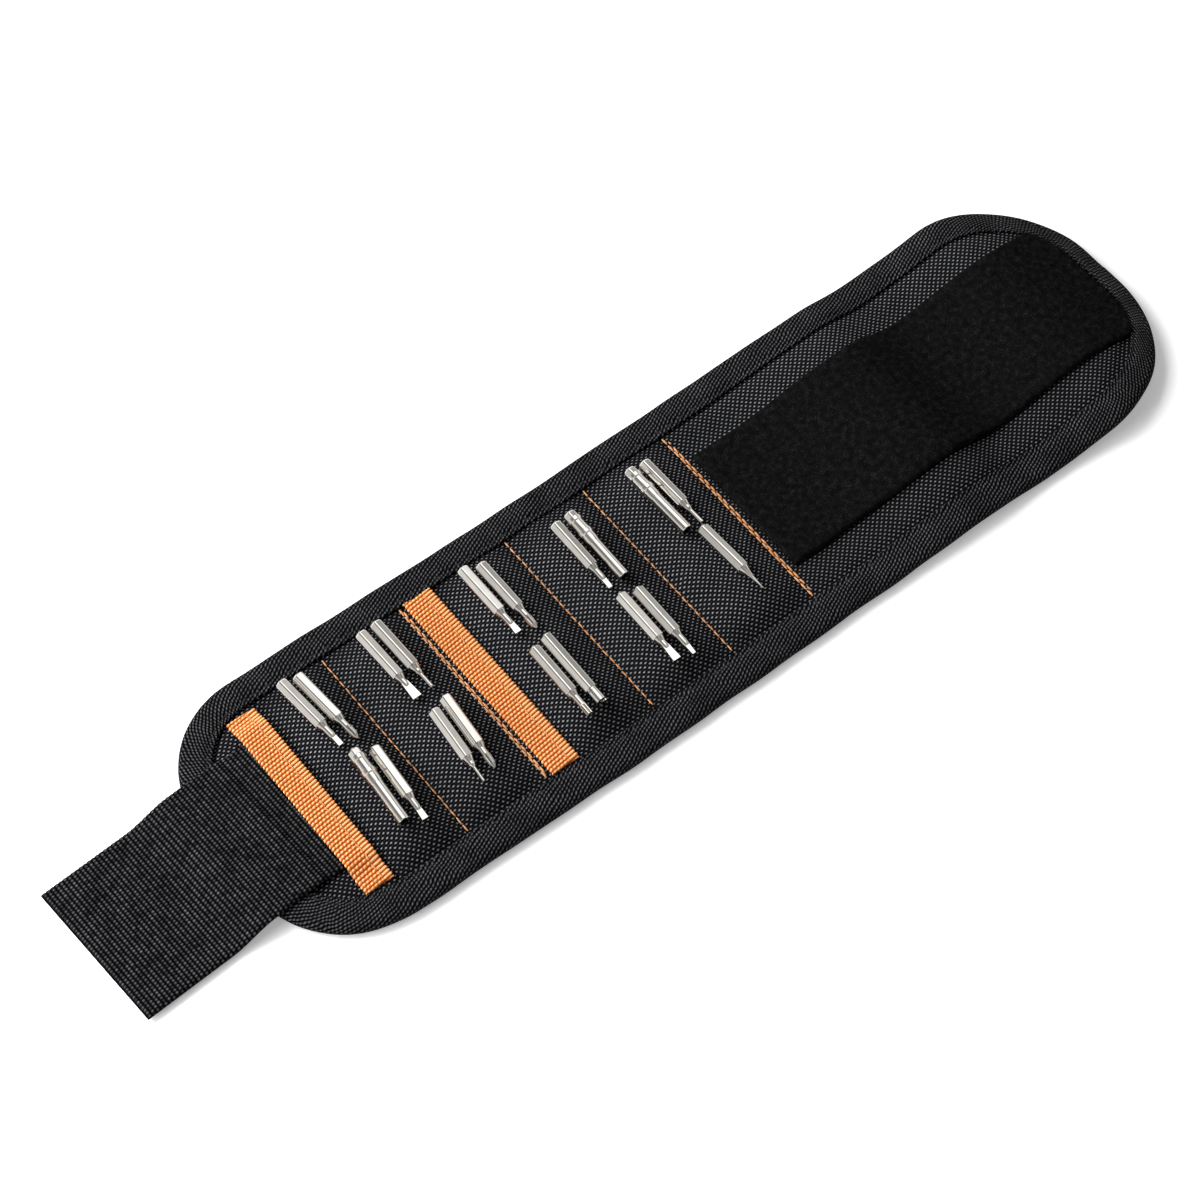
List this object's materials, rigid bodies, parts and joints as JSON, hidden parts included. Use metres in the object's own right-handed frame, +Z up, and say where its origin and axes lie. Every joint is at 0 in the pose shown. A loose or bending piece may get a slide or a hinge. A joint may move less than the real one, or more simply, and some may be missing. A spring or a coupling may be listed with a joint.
{
  "type": "magnetic wristband",
  "caption": "Padded fabric wristband laid flat, with magnetic pockets holding loose screwdriver bits, a webbing strap at one end and a loop-pile closing panel at the other.",
  "frame": {"origin": "under the middle of the whole part, on the surface it lies on", "axes": "+X along the band from the strap end to the loop end, +Y across it towards the bits' heads, +Z up from the wrist side to the front"},
  "size_m": [0.3874, 0.095, 0.0133],
  "materials": {
    "ballistic_nylon": "basket weave with a dull shine",
    "binding_tape": "finely ribbed tape",
    "air_mesh": "knitted spacer mesh",
    "strap_webbing": "ribbed webbing",
    "hook_tape": "hook tape",
    "orange_tape": "ribbed grosgrain tape",
    "loop_pile": "brushed loop pile",
    "magnet": "plain sintered bar",
    "bit_steel": "satin nickel plate"
  },
  "bodies": {
    "tail": {"tail_binding": "binding_tape", "back_mesh_tail": "air_mesh", "front_cloth_tail": "ballistic_nylon", "strap_webbing": "strap_webbing", "hook_tape": "hook_tape", "strap_cover_tape": "orange_tape"},
    "pocket_1": {"pocket_cover_1": "ballistic_nylon", "back_mesh_1": "air_mesh", "upper_binding_1": "binding_tape", "lower_binding_1": "binding_tape", "magnet_1": "magnet"},
    "pocket_2": {"pocket_cover_2": "ballistic_nylon", "back_mesh_2": "air_mesh", "upper_binding_2": "binding_tape", "lower_binding_2": "binding_tape", "magnet_2": "magnet"},
    "pocket_3": {"pocket_cover_3": "ballistic_nylon", "back_mesh_3": "air_mesh", "upper_binding_3": "binding_tape", "lower_binding_3": "binding_tape", "magnet_3": "magnet", "pocket_tape": "orange_tape"},
    "pocket_4": {"pocket_cover_4": "ballistic_nylon", "back_mesh_4": "air_mesh", "upper_binding_4": "binding_tape", "lower_binding_4": "binding_tape", "magnet_4": "magnet"},
    "pocket_5": {"pocket_cover_5": "ballistic_nylon", "back_mesh_5": "air_mesh", "upper_binding_5": "binding_tape", "lower_binding_5": "binding_tape", "magnet_5": "magnet"},
    "loop_near": {"front_cloth_near": "ballistic_nylon", "back_mesh_near": "air_mesh", "upper_binding_near": "binding_tape", "lower_binding_near": "binding_tape", "loop_panel_near": "loop_pile"},
    "loop_far": {"front_cloth_far": "ballistic_nylon", "back_mesh_far": "air_mesh", "far_binding": "binding_tape", "loop_panel_far": "loop_pile"},
    "bit_01": {"bit_01_slotted": "bit_steel"},
    "bit_02": {"bit_02_cross": "bit_steel"},
    "bit_03": {"bit_03_socket": "bit_steel"},
    "bit_04": {"bit_04_slotted": "bit_steel"},
    "bit_05": {"bit_05_slotted": "bit_steel"},
    "bit_06": {"bit_06_pin": "bit_steel"},
    "bit_07": {"bit_07_pin": "bit_steel"},
    "bit_08": {"bit_08_cross": "bit_steel"},
    "bit_09": {"bit_09_slotted": "bit_steel"},
    "bit_10": {"bit_10_cross": "bit_steel"},
    "bit_11": {"bit_11_star": "bit_steel"},
    "bit_12": {"bit_12_notched": "bit_steel"},
    "bit_13": {"bit_13_slotted": "bit_steel"},
    "bit_14": {"bit_14_socket": "bit_steel"},
    "bit_15": {"bit_15_slotted": "bit_steel"},
    "bit_16": {"bit_16_slotted": "bit_steel"},
    "bit_17": {"bit_17_socket": "bit_steel"},
    "bit_18": {"bit_18_pin": "bit_steel"},
    "bit_19": {"bit_19_needle": "bit_steel"}
  },
  "joints": [
    {"name": "wrap", "type": "hinge", "parent": "pocket_3", "child": "pocket_4", "pos_m": [-0.01829, 0, 0.0031], "axis": [0, 1, 0], "range_deg": [0, 37.7]},
    {"name": "curl_4_to_5", "type": "hinge", "parent": "pocket_4", "child": "pocket_5", "pos_m": [0.01171, 0, 0.0031], "axis": [0, 1, 0], "range_deg": [-0.5, 34.12]},
    {"name": "curl_loop_seam", "type": "hinge", "parent": "pocket_5", "child": "loop_near", "pos_m": [0.04271, 0, 0.0031], "axis": [0, 1, 0], "range_deg": [-0.5, 53.48]},
    {"name": "curl_loop_end", "type": "hinge", "parent": "loop_near", "child": "loop_far", "pos_m": [0.10671, 0, 0.0031], "axis": [0, 1, 0], "range_deg": [-0.5, 103.8]},
    {"name": "curl_2_to_3", "type": "hinge", "parent": "pocket_3", "child": "pocket_2", "pos_m": [-0.05649, 0, 0.0031], "axis": [0, -1, 0], "range_deg": [-0.5, 38.2]},
    {"name": "curl_1_to_2", "type": "hinge", "parent": "pocket_2", "child": "pocket_1", "pos_m": [-0.08599, 0, 0.0031], "axis": [0, -1, 0], "range_deg": [-0.5, 30.05]},
    {"name": "strap_fold", "type": "hinge", "parent": "pocket_1", "child": "tail", "pos_m": [-0.11049, 0, 0.0031], "axis": [0, -1, 0], "range_deg": [-20, 63]},
    {"name": "lift_bit_01", "type": "slide", "parent": "pocket_1", "child": "bit_01", "axis": [0, 0, 1], "range_m": [0, 0.03]},
    {"name": "lift_bit_02", "type": "slide", "parent": "pocket_1", "child": "bit_02", "axis": [0, 0, 1], "range_m": [0, 0.03]},
    {"name": "lift_bit_03", "type": "slide", "parent": "pocket_1", "child": "bit_03", "axis": [0, 0, 1], "range_m": [0, 0.03]},
    {"name": "lift_bit_04", "type": "slide", "parent": "pocket_1", "child": "bit_04", "axis": [0, 0, 1], "range_m": [0, 0.03]},
    {"name": "lift_bit_05", "type": "slide", "parent": "pocket_2", "child": "bit_05", "axis": [0, 0, 1], "range_m": [0, 0.03]},
    {"name": "lift_bit_06", "type": "slide", "parent": "pocket_2", "child": "bit_06", "axis": [0, 0, 1], "range_m": [0, 0.03]},
    {"name": "lift_bit_07", "type": "slide", "parent": "pocket_2", "child": "bit_07", "axis": [0, 0, 1], "range_m": [0, 0.03]},
    {"name": "lift_bit_08", "type": "slide", "parent": "pocket_2", "child": "bit_08", "axis": [0, 0, 1], "range_m": [0, 0.03]},
    {"name": "lift_bit_09", "type": "slide", "parent": "pocket_3", "child": "bit_09", "axis": [0, 0, 1], "range_m": [0, 0.03]},
    {"name": "lift_bit_10", "type": "slide", "parent": "pocket_3", "child": "bit_10", "axis": [0, 0, 1], "range_m": [0, 0.03]},
    {"name": "lift_bit_11", "type": "slide", "parent": "pocket_3", "child": "bit_11", "axis": [0, 0, 1], "range_m": [0, 0.03]},
    {"name": "lift_bit_12", "type": "slide", "parent": "pocket_3", "child": "bit_12", "axis": [0, 0, 1], "range_m": [0, 0.03]},
    {"name": "lift_bit_13", "type": "slide", "parent": "pocket_4", "child": "bit_13", "axis": [0, 0, 1], "range_m": [0, 0.03]},
    {"name": "lift_bit_14", "type": "slide", "parent": "pocket_4", "child": "bit_14", "axis": [0, 0, 1], "range_m": [0, 0.03]},
    {"name": "lift_bit_15", "type": "slide", "parent": "pocket_4", "child": "bit_15", "axis": [0, 0, 1], "range_m": [0, 0.03]},
    {"name": "lift_bit_16", "type": "slide", "parent": "pocket_4", "child": "bit_16", "axis": [0, 0, 1], "range_m": [0, 0.03]},
    {"name": "lift_bit_17", "type": "slide", "parent": "pocket_5", "child": "bit_17", "axis": [0, 0, 1], "range_m": [0, 0.03]},
    {"name": "lift_bit_18", "type": "slide", "parent": "pocket_5", "child": "bit_18", "axis": [0, 0, 1], "range_m": [0, 0.03]},
    {"name": "lift_bit_19", "type": "slide", "parent": "pocket_5", "child": "bit_19", "axis": [0, 0, 1], "range_m": [0, 0.03]}
  ],
  "couplings": [
    {"joint": "curl_4_to_5", "follows": "wrap", "ratio": 0.8919},
    {"joint": "curl_loop_seam", "follows": "wrap", "ratio": 1.4054},
    {"joint": "curl_loop_end", "follows": "wrap", "ratio": 2.74},
    {"joint": "curl_2_to_3", "follows": "wrap", "ratio": 1},
    {"joint": "curl_1_to_2", "follows": "wrap", "ratio": 0.7838}
  ]
}
